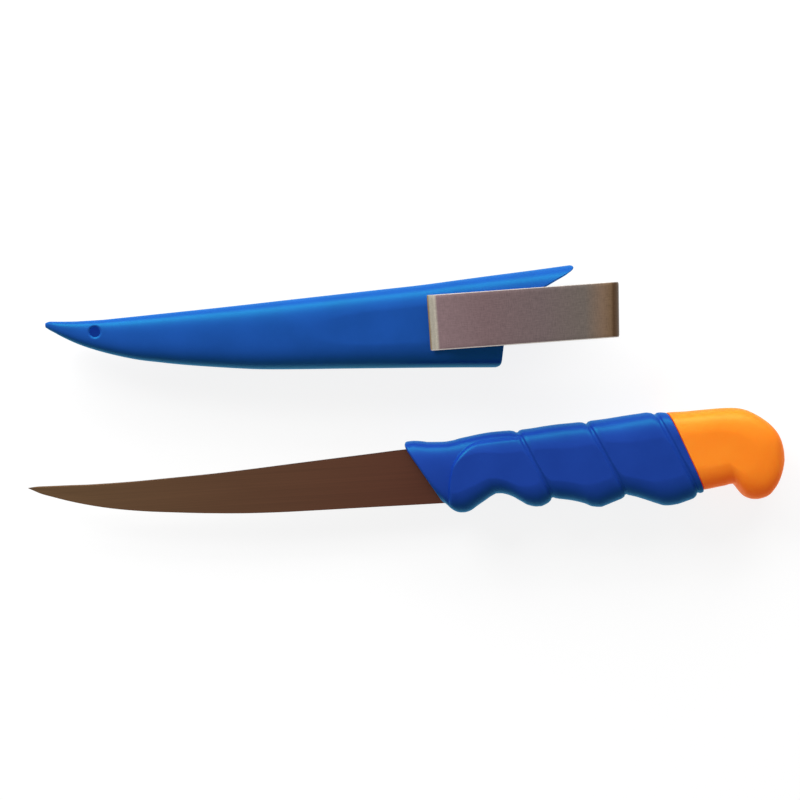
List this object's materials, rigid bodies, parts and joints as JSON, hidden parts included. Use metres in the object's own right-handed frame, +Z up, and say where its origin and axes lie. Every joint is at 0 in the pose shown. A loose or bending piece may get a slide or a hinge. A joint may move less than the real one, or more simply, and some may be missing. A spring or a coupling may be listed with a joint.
{
  "type": "fillet knife with sheath",
  "caption": "Fillet knife with a slim upswept steel blade and finger-grooved two-colour grip, beside its hollow sheath with a sprung belt clip.",
  "frame": {"origin": "middle of the footprint of knife and sheath together, on the surface that both lie on", "axes": "+X along the knife from the blade tip to the butt, +Y towards the blade spine and across to the sheath, +Z up off the surface, square to the blade"},
  "size_m": [0.2795, 0.0908, 0.0328],
  "materials": {
    "blade_steel": "warm brown satin steel, ground lengthways",
    "grip_plastic": "fine matt moulded blue plastic",
    "core_foam": "closed-cell foam, hidden",
    "cap_plastic": "fine matt moulded orange plastic",
    "sheath_plastic": "fine matt moulded blue plastic",
    "clip_steel": "brushed grey-mauve spring steel",
    "rivet_metal": "plain aluminium rivets"
  },
  "bodies": {
    "knife": {"blade": "blade_steel", "grip": "grip_plastic", "float_core": "core_foam", "butt_cap": "cap_plastic"},
    "sheath": {"sheath_front_shell": "sheath_plastic", "sheath_back_shell": "sheath_plastic", "clip_base": "clip_steel", "clip_rivets": "rivet_metal"},
    "clip_leaf": {"clip_leaf": "clip_steel"}
  },
  "joints": [
    {"name": "sheath_draw", "type": "slide", "parent": "knife", "child": "sheath", "axis": [-1, 0, 0], "range_m": [0, 0.224]},
    {"name": "clip_flex", "type": "hinge", "parent": "sheath", "child": "clip_leaf", "pos_m": [0.081, 0.02714, 0.02742], "axis": [-0.0105, 0.9999, 0], "range_deg": [0, 6], "stiffness_Nm_per_rad": 4}
  ]
}
